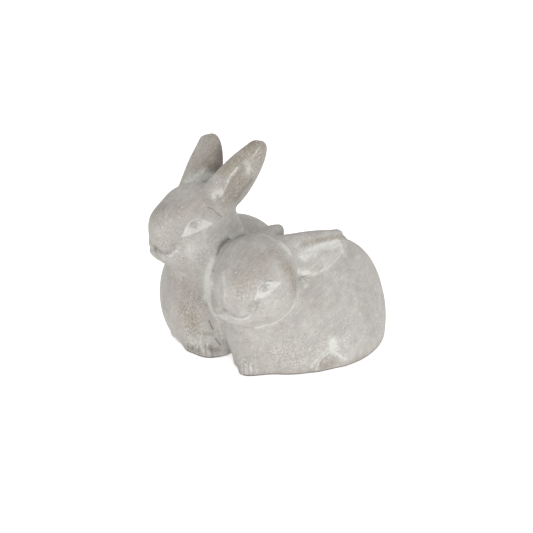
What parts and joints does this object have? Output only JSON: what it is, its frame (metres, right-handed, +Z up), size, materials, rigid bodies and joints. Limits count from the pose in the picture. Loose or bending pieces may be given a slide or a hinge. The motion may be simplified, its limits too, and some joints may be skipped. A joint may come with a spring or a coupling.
{
  "type": "cast cement rabbit pair statue",
  "caption": "Small garden statue of rabbits nestled side by side, one sitting up with ears raised and one resting with ears laid back, cast in one piece in pale grey cement",
  "frame": {"origin": "centre of the footprint's bounding box, on the surface the statue stands on", "axes": "+X along the bodies from the faces towards the tails, +Y from the resting rabbit towards the upright one, +Z up"},
  "size_m": [0.1576, 0.1344, 0.1367],
  "materials": {
    "cement": "matt cast cement with whitewash left in the hollows"
  },
  "bodies": {
    "root": {"upright_head": "cement", "upright_eye_left": "cement", "upright_eye_right": "cement", "upright_ear_left": "cement", "upright_ear_right": "cement", "upright_neck": "cement", "upright_trunk": "cement", "upright_fore_leg_left": "cement", "upright_fore_leg_right": "cement", "upright_hind_leg_right": "cement", "upright_tail": "cement", "resting_head": "cement", "resting_eye_left": "cement", "resting_eye_right": "cement", "resting_ear_left": "cement", "resting_ear_right": "cement", "resting_trunk": "cement", "resting_fore_leg_left": "cement", "resting_fore_leg_right": "cement", "resting_hind_leg_left": "cement", "resting_tail": "cement"}
  },
  "joints": []
}
